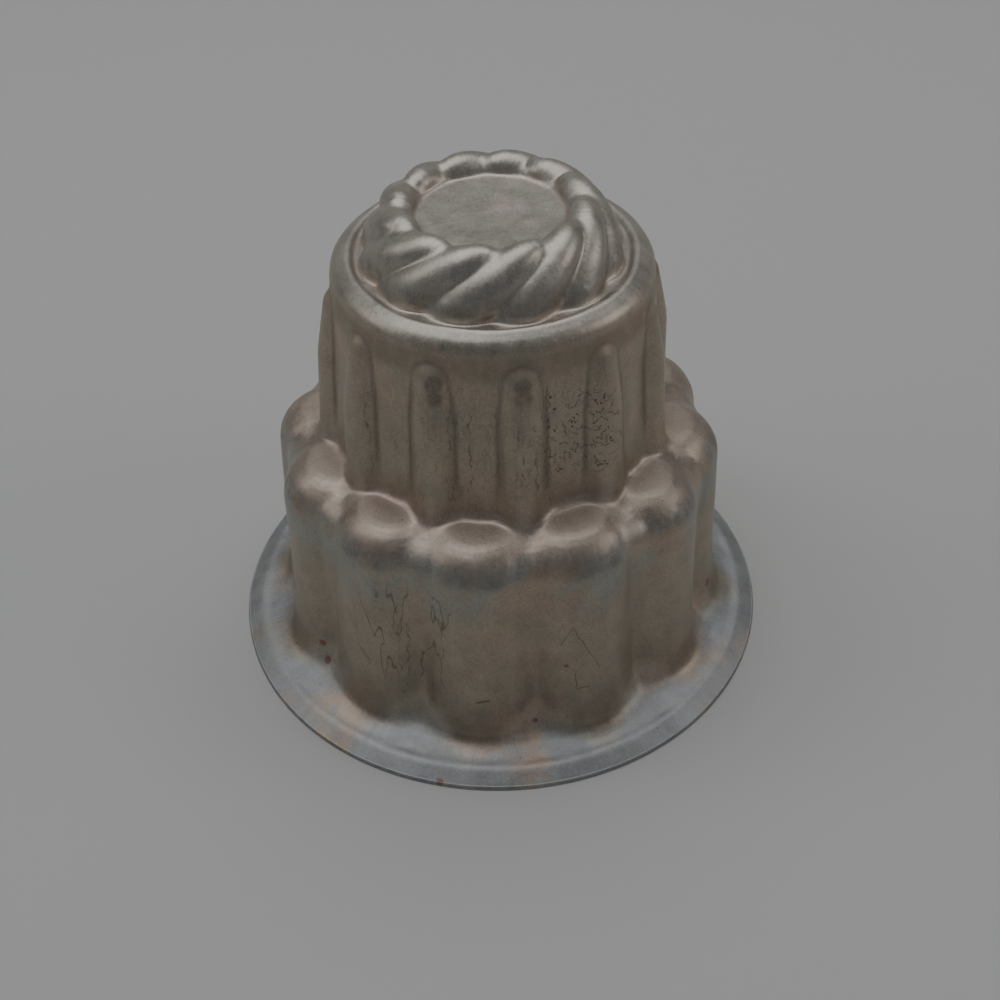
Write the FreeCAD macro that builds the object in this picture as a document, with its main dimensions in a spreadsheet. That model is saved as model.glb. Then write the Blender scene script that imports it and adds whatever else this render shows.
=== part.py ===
import FreeCAD, Part
import math
import os
import Sketcher

# Two-tier jelly mould pressed from one sheet of aluminium, standing mouth down on its flange.
# Lengths are in millimetres and angles in degrees. The origin is on the axis at the level
# that the flange stands on, with +Z up. The outer skin and the inner skin are two solid forms
# made by the same functions, the inner one smaller by the sheet, and the mould is what is
# left of the outer form when the inner form is taken out of it.

Vector = FreeCAD.Vector
Rotation = FreeCAD.Rotation
Placement = FreeCAD.Placement

# Driving dimensions. Widths run outward from the axis and heights run up from the floor, each
# step measured from the one before it.
SIZES = [
    ("sheet", 1.0, "thickness of the aluminium sheet"),
    ("lobe_count", 12, "lobes in the lower tier, with as many ribs and as many strands"),
    ("rib_turn", 8.5, "angle of the first rib from the X axis"),
    ("strand_turn", 6.5, "angle from a rib to the middle of a strand at its foot"),
    ("disc_diameter", 36.6, "flat disc inside the rope ring"),
    ("rope_width", 14.5, "rope ring from the edge of the disc to its foot"),
    ("groove_width", 1.7, "groove between the rope ring and the rim"),
    ("rim_width", 5.4, "rim from the groove to the upper wall"),
    ("upper_draft", 3.3, "widening of the upper wall from its head to its foot"),
    ("ledge_width", 13.4, "ledge from the upper wall to the valleys of the lower tier"),
    ("lobe_bulge", 6.0, "how far a lobe stands out of the valleys at its foot"),
    ("flange_width", 7.9, "flange from the feet of the lobes to the crest of its lip"),
    ("lip_width", 4.5, "turned-down lip outside the crest"),
    ("seat_width", 0.6, "narrow flat on the edge that the mould stands on"),
    ("edge_height", 0.9, "upright face of the trimmed edge"),
    ("flange_level", 3.0, "outer face of the flange above the floor"),
    ("lip_rise", 0.8, "crest of the lip above the flange"),
    ("lower_height", 60.5, "ledge above the flange"),
    ("lobe_rise", 2.8, "tops of the lobes above the ledge"),
    ("upper_height", 54.1, "rim above the ledge"),
    ("rim_fall", 3.0, "fall of the rim from its inner edge to the upper wall"),
    ("groove_depth", 1.6, "groove below the rim"),
    ("disc_rise", 8.7, "disc above the rim"),
    ("rope_rise", 4.3, "crown of the rope ring above the disc"),
    ("flare_radius", 9.5, "hollow sweep from the flange up into the valleys"),
    ("ledge_round", 5.5, "round at the head of a valley"),
    ("corner_radius", 1.6, "hollow corner between the ledge and the upper wall"),
    ("rim_round", 5.0, "outer round of the rim"),
    ("rim_inner_round", 1.5, "inner round of the rim"),
    ("lip_round", 3.0, "round along the crest of the lip"),
    ("lobe_radius", 18.7, "round column of a lobe at its foot"),
    ("lobe_draft", 3.4, "loss of radius of a lobe from foot to head"),
    ("lobe_round", 12.5, "shoulder round of a lobe"),
    ("lobe_flare", 4.5, "hollow sweep from the flange up into a lobe"),
    ("rib_radius", 6.0, "round section of a rib at its foot"),
    ("rib_head_radius", 5.6, "round section of a rib at its head"),
    ("rib_foot_rise", 2.8, "how far a rib stands out of the wall at its foot"),
    ("rib_head_rise", 3.0, "how far a rib stands out of the wall at its head"),
    ("rib_gap", 7.0, "head of a rib below the rim"),
    ("strand_radius", 8.0, "round section of a strand at the foot of the ring"),
    ("strand_end_radius", 3.7, "round section of a strand from the crown to the disc"),
    ("strand_twist", 38.0, "turn of a strand about the axis from its foot to the crown"),
    ("strand_dive", 5.0, "drop of a strand's end below the crown, under the disc"),
    ("bed_gap", 2.0, "smooth bed of the ring inside the foot of the strands"),
    ("bed_rise", 1.1, "bed of the ring above the disc"),
]

# Sections of a strand, as shares of its way from its foot at the groove (0) to the crown of
# the ring (1). It starts below the groove and ends below the disc.
STRAND_SHARES = [-0.25, 0, 0.25, 0.5, 0.75, 1, 1.25, 1.5]
# A strand leaves its foot steeply and levels out at the crown.
CLIMB_POWER = 1.5
# The inner form runs out below the floor, and a rib starts below the ledge.
OVERRUN = 2.0
# The dome of a rib is a little less than half a ball, which leaves a small flat at its top.
DOME_SHARE = 0.99
# Step along a strand, as a share of its way, that gives its direction.
NEAR = 0.01
# Two points closer than this are one point.
SAME_POINT = 1e-4

doc = FreeCAD.newDocument("jelly_mould")


def make_sizes():
    """Write the driving dimensions into a spreadsheet, one alias for each."""
    sheet = doc.addObject("Spreadsheet::Sheet", "Sizes")
    for row, (alias, value, note) in enumerate(SIZES, start=1):
        sheet.set("A%d" % row, alias)
        sheet.set("B%d" % row, str(value))
        sheet.set("C%d" % row, note)
        sheet.setAlias("B%d" % row, alias)
    doc.recompute()
    return sheet


sizes = make_sizes()


def evaluate(expression):
    """Number that an expression in the cells' names comes to."""
    result = sizes.evalExpression(expression)
    return float(getattr(result, "Value", result))


# Radii and levels of the outer skin, as expressions in the driving dimensions.
DISC_EDGE = "Sizes.disc_diameter / 2"
ROPE_FOOT = DISC_EDGE + " + Sizes.rope_width"
RIM_EDGE = ROPE_FOOT + " + Sizes.groove_width"
WALL_HEAD = RIM_EDGE + " + Sizes.rim_width"
WALL_FOOT = WALL_HEAD + " + Sizes.upper_draft"
VALLEY = WALL_FOOT + " + Sizes.ledge_width"
LOBE_FOOT = VALLEY + " + Sizes.lobe_bulge"
LIP_CREST = LOBE_FOOT + " + Sizes.flange_width"
FLANGE_EDGE = LIP_CREST + " + Sizes.lip_width"

FLANGE_LEVEL = "Sizes.flange_level"
LIP_LEVEL = FLANGE_LEVEL + " + Sizes.lip_rise"
LEDGE_LEVEL = FLANGE_LEVEL + " + Sizes.lower_height"
LOBE_TOP = LEDGE_LEVEL + " + Sizes.lobe_rise"
RIM_LEVEL = LEDGE_LEVEL + " + Sizes.upper_height"
GROOVE_LEVEL = RIM_LEVEL + " - Sizes.groove_depth"
DISC_LEVEL = RIM_LEVEL + " + Sizes.disc_rise"
BED_LEVEL = DISC_LEVEL + " + Sizes.bed_rise"
CROWN_LEVEL = DISC_LEVEL + " + Sizes.rope_rise"

# The bed of the ring is a quarter round that nearly fills the width or the height of the ring.
BED_WIDTH = "Sizes.rope_width - Sizes.bed_gap - Sizes.bed_rise"
BED_HEIGHT = "Sizes.groove_depth + Sizes.disc_rise + Sizes.bed_rise"
BED_ROUND = "0.95 * min(%s; %s)" % (BED_WIDTH, BED_HEIGHT)


def new_sketch(body, name, offset=None):
    """Sketch on the body's own upright XZ plane, moved by an offset in that plane's axes."""
    sketch = body.newObject("Sketcher::SketchObject", name)
    planes = [item for item in body.Origin.OriginFeatures if item.Role == "XZ_Plane"]
    sketch.AttachmentSupport = [(planes[0], "")]
    sketch.MapMode = "FlatFace"
    if offset is not None:
        sketch.AttachmentOffset = offset
    return sketch


def pin_point(sketch, geometry, end, across, up):
    """Hold one point of a sketch at two expressions, or on an axis where one is 0."""
    place = sketch.getPoint(geometry, end)
    for kind, axis, expression, value in (
        ("DistanceX", -2, across, place.x),
        ("DistanceY", -1, up, place.y),
    ):
        if expression == "0":
            sketch.addConstraint(Sketcher.Constraint("PointOnObject", geometry, end, axis))
            continue
        index = sketch.addConstraint(
            Sketcher.Constraint(kind, -1, 1, geometry, end, value)
        )
        sketch.setExpression("Constraints[%d]" % index, expression)


def draw_outline(sketch, corners):
    """Closed outline through corners (across, up, radius), with tangent arcs as rounds."""
    spots = [Vector(evaluate(across), evaluate(up), 0) for across, up, radius in corners]
    count = len(corners)
    leave = []
    reach = []
    arcs = []
    for index, (across, up, radius) in enumerate(corners):
        before = (spots[index - 1] - spots[index]).normalize()
        after = (spots[(index + 1) % count] - spots[index]).normalize()
        if radius is None:
            reach.append(spots[index])
            leave.append(spots[index])
            arcs.append(None)
            continue
        half = before.getAngle(after) / 2
        length = evaluate(radius) / math.tan(half)
        start = spots[index] + before * length
        end = spots[index] + after * length
        middle = (before + after).normalize()
        centre = spots[index] + middle * (evaluate(radius) / math.sin(half))
        reach.append(start)
        leave.append(end)
        arcs.append(Part.Arc(start, centre - middle * evaluate(radius), end))
    lines = []
    for index in range(count):
        following = (index + 1) % count
        lines.append(sketch.addGeometry(Part.LineSegment(leave[index], reach[following])))
    for index, (across, up, radius) in enumerate(corners):
        line_in = lines[index - 1]
        line_out = lines[index]
        if radius is None:
            sketch.addConstraint(Sketcher.Constraint("Coincident", line_in, 2, line_out, 1))
            pin_point(sketch, line_out, 1, across, up)
            continue
        corner = sketch.addGeometry(Part.Point(spots[index]), True)
        pin_point(sketch, corner, 1, across, up)
        sketch.addConstraint(Sketcher.Constraint("PointOnObject", corner, 1, line_in))
        sketch.addConstraint(Sketcher.Constraint("PointOnObject", corner, 1, line_out))
        arc = sketch.addGeometry(arcs[index])
        first = 1
        if sketch.getPoint(arc, 1).distanceToPoint(reach[index]) > SAME_POINT:
            first = 2
        sketch.addConstraint(Sketcher.Constraint("Tangent", line_in, 2, arc, first))
        sketch.addConstraint(Sketcher.Constraint("Tangent", line_out, 1, arc, 3 - first))
        bend = sketch.addConstraint(Sketcher.Constraint("Radius", arc, evaluate(radius)))
        sketch.setExpression("Constraints[%d]" % bend, radius)


def revolve(body, sketch, name):
    """Turn a sketch right round its own upright axis."""
    turned = body.newObject("PartDesign::Revolution", name)
    turned.Profile = sketch
    turned.ReferenceAxis = (sketch, ["V_Axis"])
    turned.Angle = 360
    body.Tip = turned
    return turned


def repeat(body, feature, name):
    """Repeat a feature round the body's upright axis, once for each lobe."""
    axes = [item for item in body.Origin.OriginFeatures if item.Role == "Z_Axis"]
    pattern = body.newObject("PartDesign::PolarPattern", name)
    pattern.Originals = [feature]
    pattern.Axis = (axes[0], [""])
    pattern.Angle = 360
    pattern.setExpression("Occurrences", "Sizes.lobe_count")
    body.Tip = pattern
    return pattern


def draw_in(corners, inset):
    """Corners of an open outline, moved to its inner side by the inset, with their rounds."""
    spots = [Vector(evaluate(across), evaluate(up), 0) for across, up, radius in corners]
    edges = [spots[index + 1] - spots[index] for index in range(len(spots) - 1)]
    moved = []
    for index, (across, up, radius) in enumerate(corners):
        before = edges[max(index - 1, 0)]
        after = edges[min(index, len(edges) - 1)]
        inward_before = Vector(before.y, -before.x, 0).normalize()
        inward_after = Vector(after.y, -after.x, 0).normalize()
        step = (inward_before + inward_after) / (1 + inward_before.dot(inward_after))
        hollow = before.x * after.y - before.y * after.x > 0
        if across != "0":
            across += " + (%.6f) * (%s)" % (step.x, inset)
        up += " + (%.6f) * (%s)" % (step.y, inset)
        if radius is not None:
            radius += (" + " if hollow else " - ") + inset
        moved.append((across, up, radius))
    return moved


def add_core(body, prefix, inset):
    """Stepped round core: flange, valley wall, ledge, upper wall, rim, groove, bed and disc."""
    bed_edge = ROPE_FOOT + " - Sizes.bed_gap"
    skin = [
        ("0", DISC_LEVEL, None),
        (DISC_EDGE, DISC_LEVEL, None),
        (DISC_EDGE + " + Sizes.bed_rise", BED_LEVEL, None),
        (bed_edge, BED_LEVEL, BED_ROUND),
        (bed_edge, GROOVE_LEVEL, None),
        (RIM_EDGE, GROOVE_LEVEL, None),
        (RIM_EDGE + " + Sizes.groove_depth", RIM_LEVEL, "Sizes.rim_inner_round"),
        (WALL_HEAD, RIM_LEVEL + " - Sizes.rim_fall", "Sizes.rim_round"),
        (WALL_FOOT, LEDGE_LEVEL, "Sizes.corner_radius"),
        (VALLEY, LEDGE_LEVEL, "Sizes.ledge_round"),
        (VALLEY, FLANGE_LEVEL, "Sizes.flare_radius"),
        (LIP_CREST, LIP_LEVEL, "Sizes.lip_round"),
        (FLANGE_EDGE, "Sizes.edge_height", None),
    ]
    if inset == "0":
        corners = skin + [(FLANGE_EDGE, "0", None), ("0", "0", None)]
    else:
        seat = FLANGE_EDGE + " - Sizes.seat_width"
        below = str(-OVERRUN)
        foot = [(seat, "0", None), (seat, below, None), ("0", below, None)]
        corners = draw_in(skin, inset)[:-1] + foot
    sketch = new_sketch(body, prefix + "CoreOutline")
    draw_outline(sketch, corners)
    revolve(body, sketch, prefix + "Core")


def add_lobes(body, prefix, inset):
    """Upright round columns with rounded shoulders and feet that sweep out into the flange."""
    half_share = 180 / evaluate("Sizes.lobe_count")
    spin = Placement(Vector(0, 0, 0), Rotation(Vector(0, 1, 0), half_share))
    stand = Placement(Vector(evaluate(LOBE_FOOT + " - Sizes.lobe_radius"), 0, 0), Rotation())
    sketch = new_sketch(body, prefix + "LobeOutline", spin * stand)
    head = "Sizes.lobe_radius - Sizes.lobe_draft"
    plate = "Sizes.lobe_radius + Sizes.lobe_flare + Sizes.seat_width"
    skin = [
        ("0", LOBE_TOP, None),
        (head, LOBE_TOP, "Sizes.lobe_round"),
        ("Sizes.lobe_radius", FLANGE_LEVEL, "Sizes.lobe_flare"),
        (plate, FLANGE_LEVEL, None),
    ]
    below = "0" if inset == "0" else str(-OVERRUN)
    corners = draw_in(skin, inset) + [(plate, below, None), ("0", below, None)]
    draw_outline(sketch, corners)
    repeat(body, revolve(body, sketch, prefix + "Lobe"), prefix + "Lobes")


def add_ribs(body, prefix, inset):
    """Ribs with domed heads, leaning in with the upper wall, one above each valley."""
    small = " - (%s)" % inset
    foot_out = WALL_FOOT + " + Sizes.rib_foot_rise - Sizes.rib_radius"
    head_out = WALL_HEAD + " + Sizes.rib_head_rise - Sizes.rib_head_radius"
    head_level = RIM_LEVEL + " - Sizes.rib_gap - Sizes.rib_head_radius"
    foot = Vector(evaluate(foot_out), evaluate(LEDGE_LEVEL), 0)
    head = Vector(evaluate(head_out), evaluate(head_level), 0)
    lean = math.degrees(math.atan2(foot.x - head.x, head.y - foot.y))
    length = (head - foot).Length
    sketch = new_sketch(
        body, prefix + "RibOutline", Placement(foot, Rotation(Vector(0, 0, 1), lean))
    )
    top = "%.6f + Sizes.rib_head_radius" % length + small
    dome = "(Sizes.rib_head_radius" + small + ") * %s" % DOME_SHARE
    corners = [
        ("0", top, None),
        ("Sizes.rib_head_radius" + small, top, dome),
        ("Sizes.rib_radius" + small, str(-OVERRUN), None),
        ("0", str(-OVERRUN), None),
    ]
    draw_outline(sketch, corners)
    repeat(body, revolve(body, sketch, prefix + "Rib"), prefix + "Ribs")


def strand_station(share, inset):
    """Centre and radius of a strand's section, at a share of its way to the crown."""
    on_ring = min(max(share, 0), 1)
    foot_radius = evaluate("Sizes.strand_radius")
    end_radius = evaluate("Sizes.strand_end_radius")
    foot_out = evaluate(ROPE_FOOT) - foot_radius
    crown_out = evaluate(DISC_EDGE) + end_radius
    foot_up = evaluate(GROOVE_LEVEL)
    climb = evaluate(CROWN_LEVEL) - end_radius - foot_up
    out = foot_out + (crown_out - foot_out) * on_ring**CLIMB_POWER
    up = foot_up + climb * (1 - (1 - on_ring) ** CLIMB_POWER)
    if share < 0:
        up += climb * CLIMB_POWER * share
    if share > 1:
        up -= evaluate("Sizes.strand_dive") * ((share - 1) / (STRAND_SHARES[-1] - 1)) ** 2
    radius = foot_radius + (end_radius - foot_radius) * on_ring
    turn = evaluate("Sizes.strand_turn") + evaluate("Sizes.strand_twist") * share
    centre = Rotation(Vector(0, 0, 1), turn).multVec(Vector(out, 0, up))
    return centre, radius - inset


def add_strands(body, prefix, inset):
    """Rope strands: round sections lofted along a winding path over the ring."""
    thin = evaluate(inset)
    sketches = []
    for number, share in enumerate(STRAND_SHARES):
        centre, radius = strand_station(share, thin)
        forward = strand_station(share + NEAR, thin)[0] - strand_station(share - NEAR, thin)[0]
        frame = Rotation(Vector(0, 0, 0), Vector(0, 0, 1), forward, "ZYX")
        sketch = body.newObject("Sketcher::SketchObject", "%sStrandSection%d" % (prefix, number))
        planes = [item for item in body.Origin.OriginFeatures if item.Role == "XY_Plane"]
        sketch.AttachmentSupport = [(planes[0], "")]
        sketch.MapMode = "FlatFace"
        sketch.AttachmentOffset = Placement(centre, frame)
        circle = sketch.addGeometry(Part.Circle(Vector(0, 0, 0), Vector(0, 0, 1), radius))
        sketch.addConstraint(Sketcher.Constraint("Coincident", circle, 3, -1, 1))
        sketch.addConstraint(Sketcher.Constraint("Radius", circle, radius))
        sketches.append(sketch)
    strand = body.newObject("PartDesign::AdditiveLoft", prefix + "Strand")
    strand.Profile = sketches[0]
    strand.Sections = sketches[1:]
    body.Tip = strand
    repeat(body, strand, prefix + "Strands")


def make_form(prefix, inset):
    """One whole skin of the mould as a solid form, drawn in by the inset."""
    body = doc.addObject("PartDesign::Body", prefix + "Form")
    add_core(body, prefix, inset)
    add_lobes(body, prefix, inset)
    add_ribs(body, prefix, inset)
    add_strands(body, prefix, inset)
    return body


def check_document():
    """Stop where FreeCAD left a feature invalid or in error, which it doesn't raise itself."""
    for item in doc.Objects:
        if "Invalid" in item.State or "Error" in item.State:
            raise RuntimeError("%s is %s" % (item.Name, item.State))


def make_mould():
    """The pressed sheet: the outer form less the inner form, turned to its place."""
    outer = make_form("Outer", "0")
    inner = make_form("Inner", "Sizes.sheet")
    mould = doc.addObject("Part::Cut", "Mould")
    mould.Label = "mould"
    mould.Base = outer
    mould.Tool = inner
    mould.Placement = Placement(Vector(0, 0, 0), Rotation(Vector(0, 0, 1), 0))
    mould.setExpression(".Placement.Rotation.Angle", "Sizes.rib_turn * 1 deg")
    doc.recompute()
    return mould


def write_part(piece):
    """Write one sub-part's shape, after a test that it is whole."""
    if piece.Shape.isNull() or not piece.Shape.isValid():
        raise RuntimeError("%s has no valid shape" % piece.Label)
    piece.Shape.exportStep("parts/%s.step" % piece.Label)
    facts = (piece.Label, piece.Shape.Volume, len(piece.Shape.Solids))
    print("%s: %.0f cubic mm in %d solid" % facts)


mould = make_mould()
check_document()
os.makedirs("parts", exist_ok=True)
write_part(mould)
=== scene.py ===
# %% [markdown]
# A two-tier jelly mould pressed from one sheet of aluminium, standing mouth down on its flange.
# The real one starts as a flat disc of sheet and is pushed into a die in a press, a little deeper
# each time, then trimmed round the edge. The lesson builds its skin as one smooth surface, gives
# that surface the finish of old, often washed aluminium, and sets it on a pale floor.

import math

import bpy
import numpy as np
from mathutils import Matrix, Vector


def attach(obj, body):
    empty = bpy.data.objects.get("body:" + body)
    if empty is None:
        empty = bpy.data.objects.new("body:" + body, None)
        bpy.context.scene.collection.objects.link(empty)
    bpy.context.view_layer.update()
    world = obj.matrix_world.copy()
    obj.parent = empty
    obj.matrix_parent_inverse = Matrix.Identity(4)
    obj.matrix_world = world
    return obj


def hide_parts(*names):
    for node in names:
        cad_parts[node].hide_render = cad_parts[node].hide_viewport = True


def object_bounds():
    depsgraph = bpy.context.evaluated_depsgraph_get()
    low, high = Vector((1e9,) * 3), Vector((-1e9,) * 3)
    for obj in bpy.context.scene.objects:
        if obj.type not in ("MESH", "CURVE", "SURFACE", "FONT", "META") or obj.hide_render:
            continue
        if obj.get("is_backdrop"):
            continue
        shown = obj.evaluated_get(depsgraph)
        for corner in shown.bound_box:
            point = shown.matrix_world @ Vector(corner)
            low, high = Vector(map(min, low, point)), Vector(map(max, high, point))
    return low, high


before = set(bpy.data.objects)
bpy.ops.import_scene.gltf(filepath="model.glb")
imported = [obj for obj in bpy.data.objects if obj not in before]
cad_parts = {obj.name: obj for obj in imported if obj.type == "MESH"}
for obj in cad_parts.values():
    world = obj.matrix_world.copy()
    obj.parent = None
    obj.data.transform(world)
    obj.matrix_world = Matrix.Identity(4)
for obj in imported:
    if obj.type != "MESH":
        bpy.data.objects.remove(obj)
cad_low, cad_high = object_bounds()
print("box of the frame in metres:", tuple(cad_low), tuple(cad_high))

# %% [markdown]
# Sizes. The frame says how wide and how tall the mould is, and the levels of the other parts are
# measured from the edge that it stands on. All sizes are in millimetres until the mesh is made.
# The mould repeats twelve times round its axis: every sector has a lobe, a rib and a rope strand.
# The turns say where the first of each stands, seen from above and counted from the X axis.

# %% sizes of the mould
FLANGE_RADIUS = round(cad_high[0] * 1000, 1)
HEIGHT = round(cad_high[2] * 1000, 1)
SHEET = 1.0
FLANGE_TOP = 3.0
LEDGE = 64.0
LOBE_TOP = 66.5
GROOVE = 116.0
DISC = 126.3
UNDER = -30.0
SECTOR_COUNT = 12
SECTOR = math.radians(360 / SECTOR_COUNT)
RIB_TURN = math.radians(8.5)
LOBE_TURN = RIB_TURN + SECTOR / 2
STRAND_TURN = RIB_TURN + math.radians(6.5)
print("flange radius", FLANGE_RADIUS, "mm, height", HEIGHT, "mm, sheet", SHEET, "mm")
print("sectors:", SECTOR_COUNT)

# %% [markdown]
# The round core. Seen from the side it is a stepped outline: flange with a turned-down lip, wall
# behind the lobes, ledge, upper wall, rim, groove, the bed of the rope ring and the flat disc.
# An outline with rounded corners is easy to measure from: the distance of any point to it says
# how far that point is from the metal, with a minus sign inside. It runs on far below the floor,
# so the form has no underside near the mould's open mouth.


# %% outlines with rounded corners
def rounded(corners, steps=10):
    """Outline through corners (across, up, radius), each corner replaced by a short arc."""
    spots = np.array([corner[:2] for corner in corners], float)
    outline = []
    for index, corner in enumerate(corners):
        spot = spots[index]
        if corner[2] == 0 or index in (0, len(corners) - 1):
            outline.append(spot)
            continue
        before = spots[index - 1] - spot
        after = spots[index + 1] - spot
        before /= np.linalg.norm(before)
        after /= np.linalg.norm(after)
        half = math.acos(np.clip(before @ after, -1, 1)) / 2
        middle = (before + after) / np.linalg.norm(before + after)
        centre = spot + middle * corner[2] / math.sin(half)
        first = spot + before * corner[2] / math.tan(half) - centre
        last = spot + after * corner[2] / math.tan(half) - centre
        for share in np.linspace(0, 1, steps):
            arm = first * (1 - share) + last * share
            outline.append(centre + arm * corner[2] / np.linalg.norm(arm))
    return np.array(outline)


def outline_distance(across, up, outline):
    """Distance to a closed outline mirrored about the axis, negative inside it."""
    mirror = outline[::-1] * np.array([-1, 1])
    loop = np.vstack([outline, mirror])
    start = loop
    span = np.roll(loop, -1, axis=0) - loop
    length = np.maximum((span**2).sum(1), 1e-12)
    out_x = across[:, None] - start[None, :, 0]
    out_y = up[:, None] - start[None, :, 1]
    share = np.clip((out_x * span[:, 0] + out_y * span[:, 1]) / length, 0, 1)
    near = np.hypot(out_x - share * span[:, 0], out_y - share * span[:, 1]).min(1)
    low = start[:, 1]
    high = low + span[:, 1]
    crossing = (low[None] > up[:, None]) != (high[None] > up[:, None])
    rise = np.where(np.abs(span[:, 1]) < 1e-12, 1e-12, span[:, 1])
    meet = start[None, :, 0] + span[:, 0] * (up[:, None] - low[None]) / rise
    inside = (crossing & (meet > across[:, None])).sum(1) % 2 == 1
    return np.where(inside, -near, near)


CORE = rounded(
    [
        # the flat disc and the small step round it
        (0.0, DISC, 0),
        (18.3, DISC, 0.5),
        (19.4, DISC + 1.1, 0.5),
        # the bed of the rope ring, and the groove round it
        (30.8, DISC + 1.1, 10.8),
        (30.8, GROOVE, 0.3),
        (33.9, GROOVE, 0.6),
        # the rim and the upper wall
        (35.4, GROOVE + 1.6, 1.5),
        (39.9, GROOVE - 1.4, 5.0),
        (43.2, LEDGE, 0.4),
        # the ledge and the wall behind the lobes
        (56.6, LEDGE, 8.5),
        (56.6, FLANGE_TOP, 12.5),
        # the flange, its turned-down lip and the trimmed edge
        (70.5, FLANGE_TOP + 0.8, 3.0),
        (FLANGE_RADIUS, 0.9, 0.35),
        (FLANGE_RADIUS, UNDER, 0),
        (0.0, UNDER, 0),
    ]
)
print("points in the core's outline:", len(CORE))

# %% [markdown]
# What repeats. A lobe is a round column with a soft shoulder, a rib is a round bar with a domed
# head that leans in with the upper wall, and a strand is a bar of shrinking section that winds
# from the groove over the crown of the ring and dives under the disc.

# %% the lobe
# LOBE_STAND is how far a lobe's own axis is from the mould's.
LOBE_STAND = 43.9
LOBE_REACH = 26.5
LOBE = rounded(
    [
        # the flat top and the soft shoulder
        (0.0, LOBE_TOP, 0),
        (15.3, LOBE_TOP, 11.5),
        # the wall, which leans out and flares at its foot
        (18.1, 13.0, 30.0),
        (20.4, FLANGE_TOP, 6.0),
        (LOBE_REACH, FLANGE_TOP, 0),
        (LOBE_REACH, UNDER, 0),
        (0.0, UNDER, 0),
    ]
)
print("points in a lobe's outline:", len(LOBE))


# %% ribs and strands
RIB_PATH = np.array([(40.9, 0.0, 60.0), (39.0, 0.0, 92.0), (36.9, 0.0, 105.2)])
RIB_RADII = np.array([6.3, 6.0, 5.4])
STRAND_THICK = 8.0
STRAND_THIN = 3.7
STRAND_FOOT_OUT = 24.8
STRAND_HEAD_OUT = 22.0
STRAND_WIND = math.radians(38.0)
STRAND_DIVE = 6.5
# The soft joins fill the crown a little, so the strands end just below the mould's full height.
STRAND_TOP = HEIGHT - 0.1


def bar_distance(points, path, radii):
    """Distance to a bar with a round section along a path of straight pieces."""
    nearest = np.full(len(points), 1e9)
    for start, end, thick, thin in zip(path[:-1], path[1:], radii[:-1], radii[1:]):
        span = end - start
        share = np.clip(((points - start) @ span) / (span @ span), 0, 1)
        gap = np.linalg.norm(points - start - share[:, None] * span, axis=1)
        nearest = np.minimum(nearest, gap - (thick + (thin - thick) * share))
    return nearest


def strand_path():
    """Points and radii along the middle of one strand, from below the groove to under the disc."""
    path = []
    radii = []
    climb = STRAND_TOP - STRAND_THIN - GROOVE
    for share in np.linspace(-0.25, 1.5, 29):
        on_ring = min(max(share, 0), 1)
        past_crown = max(share - 1, 0)
        out = STRAND_FOOT_OUT + (STRAND_HEAD_OUT - STRAND_FOOT_OUT) * on_ring**1.5
        up = GROOVE + climb * (1 - (1 - on_ring) ** 1.5 + 1.5 * min(share, 0))
        up -= STRAND_DIVE * (past_crown / 0.5) ** 2
        turn = STRAND_WIND * share
        path.append((out * math.cos(turn), out * math.sin(turn), up))
        radii.append(STRAND_THICK + (STRAND_THIN - STRAND_THICK) * on_ring - 1.6 * past_crown)
    return np.array(path), np.array(radii)


STRAND_PATH, STRAND_RADII = strand_path()
print("points along a strand:", len(STRAND_PATH), "and along a rib:", len(RIB_PATH))


# %% turning about the axis
def turned(points, angle):
    """Points turned back about the axis by an angle."""
    spun = points.copy()
    spun[:, 0] = points[:, 0] * math.cos(angle) + points[:, 1] * math.sin(angle)
    spun[:, 1] = points[:, 1] * math.cos(angle) - points[:, 0] * math.sin(angle)
    return spun


# %% [markdown]
# Soft joins. Sheet can't be pressed to a sharp inner corner, so wherever two forms meet the press
# leaves a fillet. A smooth minimum of two distances does the same: it fills the corner over a
# chosen width and leaves everything else as it was. The fillets of the real mould aren't alike, so
# some widths grow from place to place: low on the ribs, on the lobes' shoulders, on the crown of
# the ring, on the ledge, and where the lobes' feet flare into the flange.


# %% smooth minimum and the whole skin
RIB_JOIN = 0.5
STRAND_JOIN = 0.45
RING_JOIN = 0.8
LOBE_JOIN = 0.6
LEDGE_JOIN = 2.6


def ramp(value, none, full):
    """Share from 0 where the value is none to 1 where it is full, straight between."""
    return np.clip((value - none) / (full - none), 0, 1)


def soft_min(first, second, width):
    """Smaller of two distances, with the corner between them filled over a width."""
    share = np.clip(0.5 + 0.5 * (second - first) / width, 0, 1)
    return second + (first - second) * share - width * share * (1 - share)


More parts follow.
